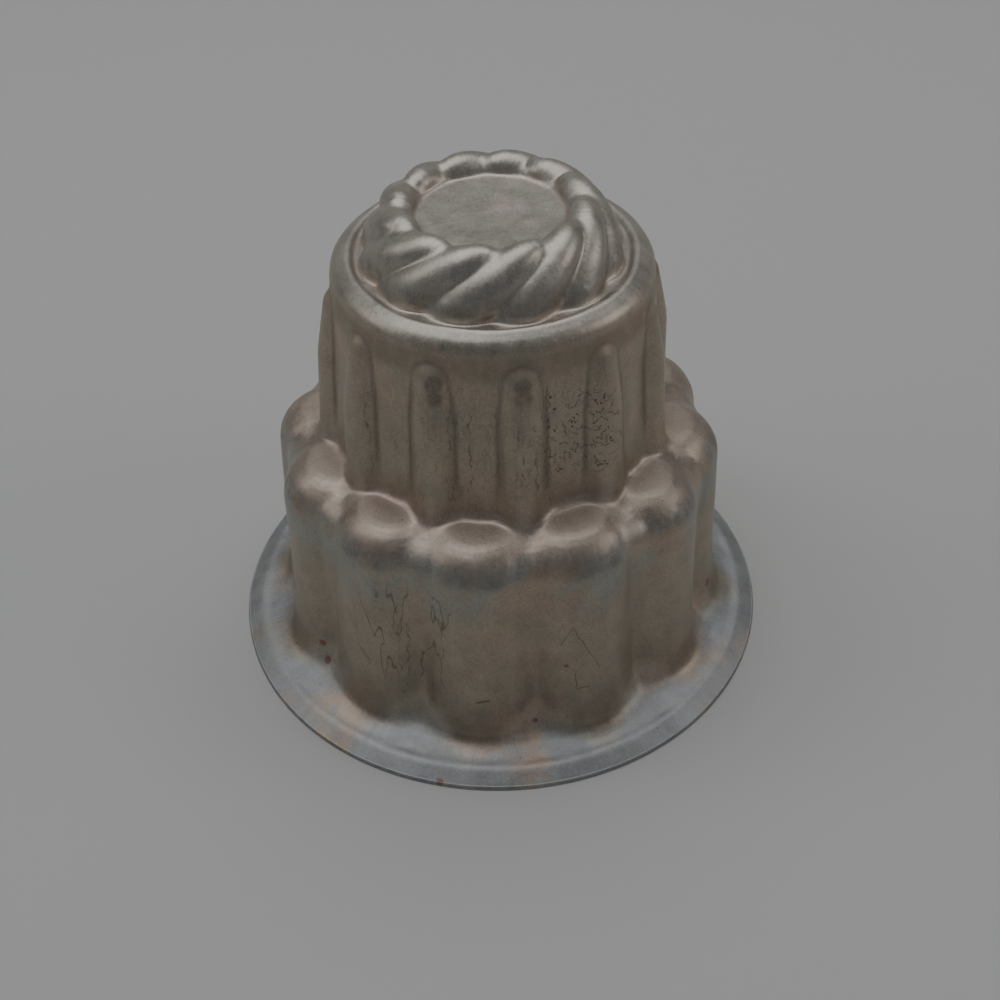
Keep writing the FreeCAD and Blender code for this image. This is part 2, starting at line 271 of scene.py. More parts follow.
def skin_distance(points):
    """Distance of points near the first sector to the outer skin of the mould."""
    across = np.hypot(points[:, 0], points[:, 1])
    up = points[:, 2]
    lobes = np.full(len(points), 1e9)
    for step in (-1, 0, 1):
        local = turned(points, LOBE_TURN + step * SECTOR)
        column = outline_distance(np.hypot(local[:, 0] - LOBE_STAND, local[:, 1]), up, LOBE)
        lobes = soft_min(lobes, column, LOBE_JOIN + 0.9 * ramp(up, 52, 62))
    ribs = np.full(len(points), 1e9)
    for step in (0, 1):
        local = turned(points, RIB_TURN + step * SECTOR)
        ribs = np.minimum(ribs, bar_distance(local, RIB_PATH, RIB_RADII))
    strands = np.full(len(points), 1e9)
    for step in (-3, -2, -1, 0, 1, 2):
        local = turned(points, STRAND_TURN + step * SECTOR)
        strand = bar_distance(local, STRAND_PATH, STRAND_RADII)
        strands = soft_min(strands, strand, STRAND_JOIN + 0.6 * ramp(up, 124, 128))
    upper = soft_min(outline_distance(across, up, CORE), ribs, RIB_JOIN + 2.6 * ramp(up, 80, 66))
    upper = soft_min(upper, strands, RING_JOIN)
    foot = ramp(up, 20, 8) * ramp(across, 71, 66)
    return soft_min(upper, lobes, LEDGE_JOIN - 2.0 * ramp(across, 48, 54) + 2.4 * foot)


PROBE = np.array([(90.0, 0.0, 0.5)])
print("from 90 mm out the skin is", round(float(skin_distance(PROBE)[0]), 2), "mm away")


# %% [markdown]
# Lines of sight onto the skin. Each row of the surface comes from one line of sight in the side
# view: a starting point outside the metal and a direction. From there every column walks in by
# the distance that it still has to the metal, again and again, until it lands on the skin. The
# same lines, walked one sheet deeper, give the inner skin.

# %% rows of the surface
# (across, up, direction in degrees, rows to the next stop), from the trimmed edge to the disc
STOPS = [
    # trimmed edge, lip and flange
    (80.0, 0.0, 180, 2),
    (80.0, 0.6, 180, 4),
    (77.7, 5.1, 237, 7),
    (70.5, 8.8, 270, 3),
    # feet, walls and shoulders of the lobes
    (68.5, 15.0, 270, 22),
    (68.5, 15.0, 180, 17),
    (68.5, 50.0, 180, 7),
    (66.0, 62.0, 205, 7),
    (60.0, 72.0, 232, 7),
    # ledge and upper wall
    (51.0, 76.0, 268, 5),
    (50.5, 73.0, 262, 15),
    (50.5, 73.0, 180, 18),
    (49.5, 104.0, 180, 9),
    # rim, groove and rope ring
    (47.0, 114.0, 198, 9),
    (42.5, 120.5, 232, 8),
    (36.6, 121.5, 268, 10),
    (35.6, 121.0, 240, 9),
    (36.2, 122.5, 198, 9),
    (34.0, 131.0, 226, 10),
    (24.0, 138.0, 270, 7),
    # inner side of the ring, and disc
    (19.0, 136.0, 298, 5),
    (14.6, 129.6, 345, 9),
    (14.6, 129.6, 270, 6),
    (2.0, 129.6, 270, 0),
]
# The inner skin starts under the lip, beside the narrow ring that the mould stands on.
INNER_STOPS = [(73.9, 9.0, 270, 4)] + STOPS[3:]


def sight_lines(stops, thinning=1.0):
    """Starting points and directions of the rows, spread evenly from each stop to the next."""
    rows = []
    for here, there in zip(stops[:-1], stops[1:]):
        count = max(1, round(here[3] * thinning))
        for share in np.arange(count) / count:
            rows.append([a + (b - a) * share for a, b in zip(here[:3], there[:3])])
    rows.append(list(stops[-1][:3]))
    return np.array(rows, float)


def land(rows, columns, depth):
    """Points of one sector where the rows meet the skin at a depth below its outer face."""
    angles = RIB_TURN + SECTOR * np.arange(columns) / columns
    starts = np.empty((len(rows), columns, 3))
    ways = np.empty_like(starts)
    aim = np.radians(rows[:, 2])
    starts[:, :, 0] = rows[:, 0, None] * np.cos(angles)
    starts[:, :, 1] = rows[:, 0, None] * np.sin(angles)
    starts[:, :, 2] = rows[:, 1, None]
    ways[:, :, 0] = np.cos(aim)[:, None] * np.cos(angles)
    ways[:, :, 1] = np.cos(aim)[:, None] * np.sin(angles)
    ways[:, :, 2] = np.sin(aim)[:, None]
    points = starts.reshape(-1, 3)
    ways = ways.reshape(-1, 3)
    moving = np.ones(len(points), bool)
    for walk in range(160):
        gap = skin_distance(points[moving]) + depth
        points[moving] += ways[moving] * gap[:, None]
        still = np.abs(gap) > 2e-4
        moving[np.flatnonzero(moving)[~still]] = False
        if not moving.any():
            break
    print("walked", walk + 1, "times,", int(moving.sum()), "points still moving")
    return points.reshape(len(rows), columns, 3)


def all_round(sector):
    """One sector repeated round the axis, as rows of columns of points."""
    rows, columns = sector.shape[:2]
    whole = np.empty((rows, columns * SECTOR_COUNT, 3))
    for number in range(SECTOR_COUNT):
        angle = -number * SECTOR
        part = turned(sector.reshape(-1, 3), angle).reshape(rows, columns, 3)
        whole[:, number * columns : (number + 1) * columns] = part
    return whole


# %% both skins
OUTER_COLUMNS = 30
INNER_COLUMNS = 15
INNER_THINNING = 0.6
# The ring that touches the floor is a little wider than the inner skin's first row.
SEAT_SPREAD = 1.006
outer = all_round(land(sight_lines(STOPS), OUTER_COLUMNS, 0.0))
inner = all_round(land(sight_lines(INNER_STOPS, INNER_THINNING), INNER_COLUMNS, SHEET))
seat = inner[:1] * np.array([SEAT_SPREAD, SEAT_SPREAD, 0.0])
inner = np.vstack([seat, inner])
print("outer rows and columns:", outer.shape[:2], "inner:", inner.shape[:2])

# %% [markdown]
# Years of use. The walls are no longer quite round: the sheet has slow waves up to about half a
# millimetre deep, and the disc has sunk a little. The waves move both skins alike, so the sheet
# keeps its thickness, and they fade out at the trimmed edge and at the crown of the ring. Each
# wave is a three-hundredth as deep as it is long.


# %% slow waves in the sheet
WAVE_LENGTHS = (14, 17, 21, 26, 33, 41, 52)
SUNK_RADIUS = 18.0


def worn(points):
    """Points moved by slow waves, in millimetres."""
    chance = np.random.default_rng(12)
    out = np.maximum(np.hypot(points[..., 0], points[..., 1]), 1e-6)
    wave = np.zeros(out.shape)
    for length in WAVE_LENGTHS:
        way = chance.normal(size=3)
        way *= 2 * math.pi / (length * np.linalg.norm(way))
        wave += np.sin(points @ way + chance.uniform(0, 2 * math.pi)) * length / 300
    up = points[..., 2]
    calm = ramp(out, 72, 66) * ramp(up, 128, 123) * ramp(up, 0, 4) * ramp(out, 0, 20)
    moved = points.copy()
    moved[..., 0] += points[..., 0] / out * wave * calm
    moved[..., 1] += points[..., 1] / out * wave * calm
    sunk = np.clip(1 - (out / SUNK_RADIUS) ** 2, 0, 1)
    moved[..., 2] -= sunk * (0.22 + 0.25 * wave)
    return moved


outer = worn(outer)
inner = worn(inner)
print("deepest wave moved a point by", round(float(np.abs(worn(outer) - outer).max()), 2), "mm")

# %% [markdown]
# One closed sheet. The outer skin runs from the trimmed edge up to the middle of the disc, the
# inner skin comes back down, and a narrow ring under the edge joins them: that ring is what the
# mould stands on. The outer skin has more columns, so in the ring every inner point takes a fan of
# outer ones.


# %% mesh of the sheet
def make_sheet(outer, inner):
    """Mesh object of both skins, joined at the trimmed edge and closed at the disc."""
    outer_count, wide = outer.shape[:2]
    inner_count, narrow = inner.shape[:2]
    vertices = np.vstack([outer.reshape(-1, 3), inner.reshape(-1, 3)])
    base = outer_count * wide
    faces = []
    for row in range(outer_count - 1):
        for column in range(wide):
            following = (column + 1) % wide
            low = row * wide
            high = low + wide
            faces.append((low + column, low + following, high + following, high + column))
    for row in range(inner_count - 1):
        for column in range(narrow):
            following = (column + 1) % narrow
            low = base + row * narrow
            high = low + narrow
            faces.append((low + following, low + column, high + column, high + following))
    ratio = wide // narrow
    for column in range(narrow):
        following = (column + 1) % narrow
        for step in range(ratio):
            here = column * ratio + step
            there = (here + 1) % wide
            anchor = base + (column if step * 2 < ratio else following)
            faces.append((there, here, anchor))
        shared = (column * ratio + (ratio + 1) // 2) % wide
        faces.append((shared, base + column, base + following))
    top = len(vertices)
    crown = [(0, 0, outer[-1, :, 2].mean()), (0, 0, inner[-1, :, 2].mean())]
    vertices = np.vstack([vertices, crown])
    last = (outer_count - 1) * wide
    for column in range(wide):
        faces.append((last + column, last + (column + 1) % wide, top))
    last = base + (inner_count - 1) * narrow
    for column in range(narrow):
        faces.append((last + (column + 1) % narrow, last + column, top + 1))
    mesh = bpy.data.meshes.new("mould_sheet")
    mesh.from_pydata((vertices * 0.001).tolist(), [], faces)
    mesh.validate()
    mesh.shade_smooth()
    piece = bpy.data.objects.new("mould_sheet", mesh)
    bpy.context.scene.collection.objects.link(piece)
    return piece


sheet = make_sheet(outer, inner)
triangles = sum(len(face.vertices) - 2 for face in sheet.data.polygons)
print("triangles in the sheet:", triangles)

# %% [markdown]
# The finish is built from small effects. Each effect is a node group of its own with named
# inputs, works on the place in the mould in millimetres, and gives a mask or a value that
# changes over the surface. The next cells make the tools for such groups.


# %% tools for node groups
def feed(tree, socket, value):
    """Give an input socket a value, or a link where the value comes from another node."""
    if isinstance(value, bpy.types.NodeSocket):
        tree.links.new(value, socket)
    else:
        socket.default_value = value


def put(tree, kind, feeds, **settings):
    """New node with its settings, and its inputs fed by name or by number."""
    node = tree.nodes.new(kind)
    for name, value in settings.items():
        setattr(node, name, value)
    for name, value in feeds.items():
        feed(tree, node.inputs[name], value)
    return node


def calc(tree, operation, first, second=0.0, third=0.0):
    """Result of one sum on numbers."""
    return put(tree, "ShaderNodeMath", {0: first, 1: second, 2: third}, operation=operation).outputs[0]


def vector_calc(tree, operation, first, second=(0, 0, 0)):
    """Result of one sum on vectors, a number where the sum gives a number."""
    node = put(tree, "ShaderNodeVectorMath", {0: first, 1: second}, operation=operation)
    return node.outputs["Value" if operation in ("LENGTH", "DISTANCE", "DOT_PRODUCT") else "Vector"]


def fade(tree, value, none, full):
    """Soft step from 0 where the value is none to 1 where it is full."""
    feeds = {"Value": value, "From Min": none, "From Max": full}
    return put(tree, "ShaderNodeMapRange", feeds, interpolation_type="SMOOTHSTEP").outputs["Result"]


def scale_place(tree, place, scale):
    """Place with each of its three parts multiplied."""
    return vector_calc(tree, "MULTIPLY", place, scale)


def scaled(tree, vector, factor):
    """Vector made longer or shorter by one factor."""
    feeds = {0: vector, "Scale": factor}
    return put(tree, "ShaderNodeVectorMath", feeds, operation="SCALE").outputs["Vector"]


def noise(tree, place, size, detail=2.0, roughness=0.5):
    """Cloudy value from 0 to 1 with patches of about a size in millimetres."""
    feeds = {"Vector": place, "Scale": 1 / size, "Detail": detail, "Roughness": roughness}
    return put(tree, "ShaderNodeTexNoise", feeds).outputs["Fac"]


def new_group(name, inputs, outputs):
    """Empty node group: its tree, its inputs by name, and its output node."""
    tree = bpy.data.node_groups.new(name, "ShaderNodeTree")
    for label, kind, start in inputs:
        socket = tree.interface.new_socket(label, in_out="INPUT", socket_type=kind)
        socket.default_value = start
    for label, kind in outputs:
        tree.interface.new_socket(label, in_out="OUTPUT", socket_type=kind)
    sources = tree.nodes.new("NodeGroupInput").outputs
    return tree, sources, tree.nodes.new("NodeGroupOutput")


NUMBER = "NodeSocketFloat"
PLACE = "NodeSocketVector"

# %% [markdown]
# Marks of the press. The sheet slides between punch and die, which draws fine lines up the walls.
# The lines follow the turn about the axis and stretch far along the height.

# %% group of drawing lines
tree, given, result = new_group(
    "drawing_lines", [("Place", PLACE, (0, 0, 0)), ("Fineness", NUMBER, 60.0)], [("Lines", NUMBER)]
)
flat = vector_calc(tree, "NORMALIZE", scale_place(tree, given["Place"], (1, 1, 0)))
spread = scaled(tree, flat, given["Fineness"])
height = scale_place(tree, given["Place"], (0, 0, 0.06))
along = vector_calc(tree, "ADD", spread, height)
feed(tree, result.inputs["Lines"], noise(tree, along, 1.0, 4.0, 0.65))
print("effect:", tree.name)

# %% [markdown]
# Small corrosion pits. Salt and hot water eat tiny dots into aluminium. Cells of a loose pattern
# each get one dot, and most cells are left out.

# %% group of pits
tree, given, result = new_group(
    "pits",
    [
        ("Place", PLACE, (0, 0, 0)),
        ("Spacing", NUMBER, 2.0),
        ("Radius", NUMBER, 0.2),
        ("Share", NUMBER, 0.2),
    ],
    [("Mask", NUMBER)],
)
inverse = calc(tree, "DIVIDE", 1.0, given["Spacing"])
cells = put(tree, "ShaderNodeTexVoronoi", {"Vector": given["Place"], "Scale": inverse})
reach = calc(tree, "DIVIDE", given["Radius"], given["Spacing"])
dot = fade(tree, cells.outputs["Distance"], reach, calc(tree, "MULTIPLY", reach, 0.5))
pick = put(tree, "ShaderNodeSeparateColor", {"Color": cells.outputs["Color"]}).outputs[0]
chosen = calc(tree, "LESS_THAN", pick, given["Share"])
feed(tree, result.inputs["Mask"], calc(tree, "MULTIPLY", dot, chosen))
print("effect:", tree.name)

# %% [markdown]
# A round spot with a ragged edge. It stands for a drop that dried, a rust speck from another
# pan, or the area over which another effect shows.

# %% group of one spot
tree, given, result = new_group(
    "spot",
    [
        ("Place", PLACE, (0, 0, 0)),
        ("Wander", PLACE, (0, 0, 0)),
        ("Centre", PLACE, (0, 0, 0)),
        ("Radius", NUMBER, 2.0),
        ("Ragged", NUMBER, 0.5),
    ],
    [("Mask", NUMBER)],
)
reach = calc(tree, "MULTIPLY", given["Radius"], given["Ragged"])
shift = scaled(tree, given["Wander"], reach)
spot = vector_calc(tree, "ADD", given["Place"], shift)
gap = vector_calc(tree, "DISTANCE", spot, given["Centre"])
share = calc(tree, "DIVIDE", gap, given["Radius"])
feed(tree, result.inputs["Mask"], fade(tree, share, 1.0, 0.6))
print("effect:", tree.name)

# %% [markdown]
# A scratch or a dried run of water: a thin line between two places that wavers a little. What
# lies above or below the surface isn't counted, so a line can be given by two places near it.

# %% group of one line
tree, given, result = new_group(
    "line_mark",
    [
        ("Place", PLACE, (0, 0, 0)),
        ("Wander", PLACE, (0, 0, 0)),
        ("Start", PLACE, (0, 0, 0)),
        ("End", PLACE, (1, 0, 0)),
        ("Width", NUMBER, 0.2),
        ("Waver", NUMBER, 0.5),
    ],
    [("Mask", NUMBER)],
)
shift = scaled(tree, given["Wander"], given["Waver"])
spot = vector_calc(tree, "ADD", given["Place"], shift)
facing = tree.nodes.new("ShaderNodeNewGeometry").outputs["True Normal"]
out = vector_calc(tree, "SUBTRACT", spot, given["Start"])
span = vector_calc(tree, "SUBTRACT", given["End"], given["Start"])
whole = vector_calc(tree, "DOT_PRODUCT", span, span)
part = calc(tree, "DIVIDE", vector_calc(tree, "DOT_PRODUCT", out, span), whole)
part = put(tree, "ShaderNodeClamp", {"Value": part}).outputs["Result"]
foot = scaled(tree, span, part)
gap = vector_calc(tree, "SUBTRACT", out, foot)
close = fade(tree, vector_calc(tree, "LENGTH", gap), 4.0, 3.0)
along = vector_calc(tree, "PROJECT", gap, facing)
beside = vector_calc(tree, "DISTANCE", gap, along)
half = calc(tree, "MULTIPLY", given["Width"], 0.4)
line = fade(tree, beside, given["Width"], half)
feed(tree, result.inputs["Mask"], calc(tree, "MULTIPLY", line, close))
print("effect:", tree.name)

# %% [markdown]
# Dried water. Where a puddle dries, its edge leaves a thin dark outline. The outline follows one
# level of a cloudy pattern, as a shore follows the level of the water. The pattern is stretched
# up and down, because the water ran down the wall before it dried.

# %% group of dried water
tree, given, result = new_group(
    "dried_water",
    [("Place", PLACE, (0, 0, 0)), ("Size", NUMBER, 6.0), ("Width", NUMBER, 0.012)],
    [("Outline", NUMBER)],
)
stretched = scale_place(tree, given["Place"], (1.0, 1.0, 0.3))
cloud = put(tree, "ShaderNodeTexNoise", {"Vector": stretched, "Detail": 2.5, "Roughness": 0.55})
feed(tree, cloud.inputs["Scale"], calc(tree, "DIVIDE", 1.0, given["Size"]))
level = calc(tree, "SUBTRACT", cloud.outputs["Fac"], 0.5)
away = calc(tree, "ABSOLUTE", level)
feed(tree, result.inputs["Outline"], fade(tree, away, given["Width"], 0.0))
print("effect:", tree.name)

# %% [markdown]
# Etched strokes. In one patch of the upper wall the skin of the metal has been eaten away in short
# crooked strokes. Three in four cells of a loose pattern get one short line in a direction of its
# own, laid flat on the surface, and the place is wandered a little first, which bends the lines.

# %% group of etched strokes
tree, given, result = new_group(
    "etched_strokes",
    [
        ("Place", PLACE, (0, 0, 0)),
        ("Spacing", NUMBER, 2.5),
        ("Length", NUMBER, 1.1),
        ("Width", NUMBER, 0.19),
    ],
    [("Mask", NUMBER)],
)
cloud = put(tree, "ShaderNodeTexNoise", {"Vector": given["Place"], "Scale": 0.9, "Detail": 2.0})
shift = vector_calc(tree, "SUBTRACT", cloud.outputs["Color"], (0.5, 0.5, 0.5))
shift = scale_place(tree, shift, (2.6, 2.6, 2.6))
bent = vector_calc(tree, "ADD", given["Place"], shift)
inverse = calc(tree, "DIVIDE", 1.0, given["Spacing"])
cells = put(tree, "ShaderNodeTexVoronoi", {"Vector": bent, "Scale": inverse})
facing = tree.nodes.new("ShaderNodeNewGeometry").outputs["True Normal"]
out = vector_calc(tree, "SUBTRACT", bent, cells.outputs["Position"])
out = vector_calc(tree, "SUBTRACT", out, vector_calc(tree, "PROJECT", out, facing))
way = vector_calc(tree, "SUBTRACT", cells.outputs["Color"], (0.5, 0.5, 0.5))
way = vector_calc(tree, "SUBTRACT", way, vector_calc(tree, "PROJECT", way, facing))
way = vector_calc(tree, "NORMALIZE", way)
along = vector_calc(tree, "DOT_PRODUCT", out, way)
along = calc(tree, "MINIMUM", along, given["Length"])
along = calc(tree, "MAXIMUM", along, calc(tree, "MULTIPLY", given["Length"], -1.0))
foot = scaled(tree, way, along)
gap = vector_calc(tree, "DISTANCE", out, foot)
half = calc(tree, "MULTIPLY", given["Width"], 0.4)
pick = put(tree, "ShaderNodeSeparateColor", {"Color": cells.outputs["Color"]}).outputs[1]
chosen = calc(tree, "GREATER_THAN", pick, 0.25)
feed(tree, result.inputs["Mask"], calc(tree, "MULTIPLY", fade(tree, gap, given["Width"], half), chosen))
print("effect:", tree.name)

# %% [markdown]
# The metal itself. Aluminium that has been boiled and scrubbed for years is a dull grey brown
# with a soft sheen. Its tone changes by zone: lighter and cooler on the flange, rosier on the ledge
# between the tiers, bluish on the lobes' shoulders, and mottled all over. The helpers below all
# add their nodes to this one metal.

# %% tools for the finish
metal = bpy.data.materials.new("old_aluminium")
metal.use_nodes = True
tree = metal.node_tree
shader = tree.nodes["Principled BSDF"]
coordinates = tree.nodes.new("ShaderNodeTexCoord")
place = scale_place(tree, coordinates.outputs["Object"], (1000, 1000, 1000))
clouded = put(tree, "ShaderNodeTexNoise", {"Vector": place, "Scale": 0.35, "Detail": 3.0})
wander = vector_calc(tree, "SUBTRACT", clouded.outputs["Color"], (0.5, 0.5, 0.5))


def effect(name, feeds):
    """Outputs of one of the effects, placed in the material."""
    node = tree.nodes.new("ShaderNodeGroup")
    node.node_tree = bpy.data.node_groups[name]
    for label, value in {"Place": place, **feeds}.items():
        feed(tree, node.inputs[label], value)
    if "Wander" in node.inputs:
        feed(tree, node.inputs["Wander"], wander)
    return node.outputs


def spot_at(centre, radius, ragged):
    """Mask of one round spot with a ragged edge."""
    return effect("spot", {"Centre": centre, "Radius": radius, "Ragged": ragged})["Mask"]


def line_between(start, end, width, waver):
    """Mask of one thin line between two places."""
    return effect("line_mark", {"Start": start, "End": end, "Width": width, "Waver": waver})["Mask"]


def blend(share, first, second):
    """Mix of two colours by a share."""
    node = put(tree, "ShaderNodeMix", {"Factor": share}, data_type="RGBA")
    feed(tree, node.inputs[6], first)
    feed(tree, node.inputs[7], second)
    return node.outputs[2]


def most(*masks):
    """Strongest of several masks."""
    strongest = masks[0]
    for mask in masks[1:]:
        strongest = calc(tree, "MAXIMUM", strongest, mask)
    return strongest


def times(*factors):
    """Product of several numbers."""
    product = factors[0]
    for factor in factors[1:]:
        product = calc(tree, "MULTIPLY", product, factor)
    return product


def band(value, start, full, fading, end):
    """Mask that rises from start to full, stays, and falls again from fading to end."""
    return times(fade(tree, value, start, full), fade(tree, value, end, fading))


def plus(base, mask, amount):
    """Number raised by an amount where a mask is full, lowered where the amount is negative."""
    return calc(tree, "MULTIPLY_ADD", mask, amount, base)


def swing(base, effect_value, amount):
    """Number moved up and down by an effect that lies round one half."""
    return plus(base, calc(tree, "SUBTRACT", effect_value, 0.5), amount)


print("tools ready, material:", metal.name)

# %% [markdown]
# Zones. The height above the floor, the distance from the axis and the slope of the surface tell
# the parts of the mould apart. A wave with one crest at every lobe tells a lobe from the valley
# beside it, and lets the flange's tone climb into the valleys.

# %% zones of the mould
parts = put(tree, "ShaderNodeSeparateXYZ", {"Vector": place}).outputs
height = parts["Z"]
out = vector_calc(tree, "LENGTH", scale_place(tree, place, (1, 1, 0)))
bearing = calc(tree, "ARCTAN2", parts["Y"], parts["X"])
turns = calc(tree, "MULTIPLY_ADD", bearing, SECTOR_COUNT, -SECTOR_COUNT * LOBE_TURN)
lobe_wave = calc(tree, "COSINE", turns)
surface = tree.nodes.new("ShaderNodeNewGeometry").outputs
slope = put(tree, "ShaderNodeSeparateXYZ", {"Vector": surface["Normal"]}).outputs["Z"]

low = fade(tree, plus(height, lobe_wave, 3.5), 14.0, 5.0)
flange = times(low, fade(tree, plus(out, lobe_wave, -3.0), 60.0, 67.0))
shoulder = band(height, 42.0, 54.0, 60.0, 64.0)
ledge = band(height, 58.0, 63.0, 68.0, 72.0)
lobe_tops = times(ledge, fade(tree, slope, 0.9, 0.98))
wall = band(height, 68.5, 72.0, 114.0, 116.0)
rim_wall = band(height, 104.0, 108.0, 111.0, 114.0)
ring_foot = band(height, 116.5, 118.5, 120.0, 125.0)
top = fade(tree, height, 112.0, 117.0)
print("zones set")

# %% [markdown]
# Mottling. Clouds as wide as a thumb change the tint, patches of a few millimetres change tint,
# gloss and relief, and the grain is as fine as the sheet's own. Two sets of drawing lines, fine
# and broad, run up the walls.

# %% mottling and tones
clouds = noise(tree, place, 18.0, 4.0, 0.6)
patches = noise(tree, place, 6.0, 3.0, 0.6)
grain = noise(tree, place, 0.55, 3.0, 0.7)
lines = effect("drawing_lines", {"Fineness": 55.0})["Lines"]
broad_lines = effect("drawing_lines", {"Fineness": 9.0})["Lines"]

BROWN = (0.41, 0.358, 0.285, 1)
ROSY = (0.46, 0.366, 0.295, 1)
STEEL = (0.465, 0.44, 0.405, 1)
WORN_DISC = (0.56, 0.46, 0.43, 1)
LEDGE_ROSE = (0.42, 0.345, 0.3, 1)
BLUISH = (0.37, 0.375, 0.36, 1)
COOL = (0.35, 0.358, 0.365, 1)
tone = blend(fade(tree, clouds, 0.46, 0.66), BROWN, ROSY)
tone = blend(times(top, 0.7), tone, STEEL)
worn_disc = spot_at((5.0, 1.0, 126.0), 11.0, 1.2)
tone = blend(times(worn_disc, 0.6, fade(tree, patches, 0.4, 0.6)), tone, WORN_DISC)
tone = blend(times(ledge, 0.65), tone, LEDGE_ROSE)
tone = blend(times(shoulder, 0.75, fade(tree, clouds, 0.62, 0.42)), tone, BLUISH)
tone = blend(times(flange, fade(tree, clouds, 0.74, 0.48)), tone, COOL)
print("base tones set")

# %% [markdown]
# Creases. How sharply the surface bends at a place tells where the creases are. In the corners of
# the ledge and of the rope ring a lighter rosy tint is a painted highlight where the fillets reflect,
# partly also wear. Painted shade draws a thin dark line beside the ribs, and painted shade darkens
# the hollow where each lobe flares into the flange.

# %% creases
CREASE_HIGHLIGHT_ROSE = (0.62, 0.48, 0.41, 1)
FOOT_SHADE = (0.22, 0.18, 0.14, 1)
RIB_SHADE = (0.15, 0.13, 0.11, 1)
bend = surface["Pointiness"]
lower_tier = fade(tree, height, 30.0, 25.0)
# Painted highlight, partly also wear: a lighter rosy tint in the concave creases, kept off the walls
# and the lower tier.
highlight_zone = calc(tree, "SUBTRACT", 1.0, most(wall, lower_tier))
crease_highlight_and_wear = times(fade(tree, bend, 0.485, 0.44), highlight_zone)
tone = blend(times(crease_highlight_and_wear, 0.6), tone, CREASE_HIGHLIGHT_ROSE)
# Painted shade: the foot mask darkens the concave hollow where each lobe flares into the flange.
foot = times(band(slope, 0.0, 0.25, 0.55, 0.9), fade(tree, height, 22.0, 14.0))
foot = times(foot, fade(tree, lobe_wave, -0.4, 0.7))
tone = blend(times(foot, 0.5), tone, FOOT_SHADE)
# Painted shade: a thin dark line in the concave creases beside the ribs on the upper wall.
rib_crease_shade = times(fade(tree, bend, 0.496, 0.466), wall)
tone = blend(times(rib_crease_shade, 0.6), tone, RIB_SHADE)
print("creases set")

# %% [markdown]
# Marks at their places. Each mark of the real mould gets one of the effects, at the place where
# it sits. First the etched patch on the upper wall, and the outlines of dried water: a strong one
# on a lobe at the left, and faint ones on the upper wall.

# %% etched patch and dried water
etched_patch = spot_at((19.5, -37.0, 88.0), 16.0, 0.45)
strokes = times(etched_patch, effect("etched_strokes", {})["Mask"])
puddle_area = spot_at((-21.5, -54.5, 36.0), 22.0, 0.3)
puddle = effect("dried_water", {"Size": 7.0, "Width": 0.014})["Outline"]
wall_area = spot_at((0.0, -42.0, 86.0), 34.0, 0.6)
wall_water = effect("dried_water", {"Size": 5.0, "Width": 0.008})["Outline"]
water = most(times(puddle_area, puddle), times(wall_area, 0.5, wall_water))
print("etched patch and dried water set")

# %% [markdown]
# Runs. Water that dripped down the walls left thin wavering lines, broken where it dried first.


# %% runs of water
# (degrees from the front, distance and height of the head, distance and height of the foot, width)
RUNS = [
    (-54, 43.0, 106, 41.5, 84, 0.22),
    (-46, 43.5, 98, 42.5, 72, 0.3),
    (-8.5, 40.9, 98, 42.8, 70, 0.22),
    (7.5, 42.5, 99, 44.5, 76, 0.3),
    (11.5, 43.9, 95, 44.9, 72, 0.3),
    (17.0, 41.6, 104, 42.9, 69, 0.25),
    (-14.5, 42.3, 98, 43.2, 66, 0.2),
    (-26.2, 58.6, 50, 60.3, 23, 0.2),
    (-23.5, 58.6, 52, 60.5, 19, 0.2),
    (-15.0, 58.9, 52, 60.2, 32, 0.2),
]
RUN_WAVER = 3.4


def turned_place(degrees, radius, level):
    """Place at an angle from the front, a distance from the axis and a height."""
    angle = math.radians(degrees)
    return (radius * math.sin(angle), -radius * math.cos(angle), level)


runs = []
for degrees, head_out, head, foot_out, foot_level, width in RUNS:
    start = turned_place(degrees, head_out, head)
    end = turned_place(degrees, foot_out, foot_level)
    runs.append(line_between(start, end, width, RUN_WAVER))
broken = fade(tree, noise(tree, scale_place(tree, place, (1, 1, 0.3)), 1.2, 2.0), 0.42, 0.56)
runs = times(most(*runs), broken)
print("runs:", len(RUNS))

# %% [markdown]
# Scratches, red specks and dark dots. The specks are rust from another pan, and the dots are pits
# that grew large.

# %% scratches, specks and dots
SCRATCHES = [
    ((17.9, -56.9, 42.2), (25.2, -56.0, 25.4), 0.13),
    ((17.9, -56.9, 42.2), (14.9, -57.2, 36.0), 0.13),
    ((18.6, -57.7, 26.0), (19.2, -58.0, 20.0), 0.18),
    ((19.2, -58.0, 20.0), (22.6, -57.3, 19.9), 0.2),
    ((-6.8, -61.2, 19.0), (-3.6, -61.4, 19.6), 0.45),
    ((11.2, -41.6, 75.1), (12.6, -41.4, 77.0), 0.6),
]
SCRATCH_WAVER = 1.2
scratches = [line_between(start, end, width, SCRATCH_WAVER) for start, end, width in SCRATCHES]
scratches = most(*scratches)

SPECKS = [
    ((-49.6, -33.6, 12.8), 1.4),
    ((-48.2, -36.1, 8.5), 1.5),
    ((59.1, -14.6, 13.5), 1.4),
    ((8.3, -59.2, 8.9), 0.9),
    ((-17.0, -72.6, 1.2), 1.2),
    ((16.3, -57.6, 28.7), 0.9),
]
specks = most(*[spot_at(centre, radius, 1.3) for centre, radius in SPECKS])

DOTS = [
    ((9.7, -45.8, 72.6), 0.55),
    ((-13.2, -41.7, 84.2), 0.6),
    ((12.6, -38.8, 100.5), 0.5),
    ((13.6, -38.9, 97.0), 0.5),
]
dots = most(*[spot_at(centre, radius, 0.1) for centre, radius in DOTS])
print("scratches:", len(SCRATCHES), "specks:", len(SPECKS), "dots:", len(DOTS))

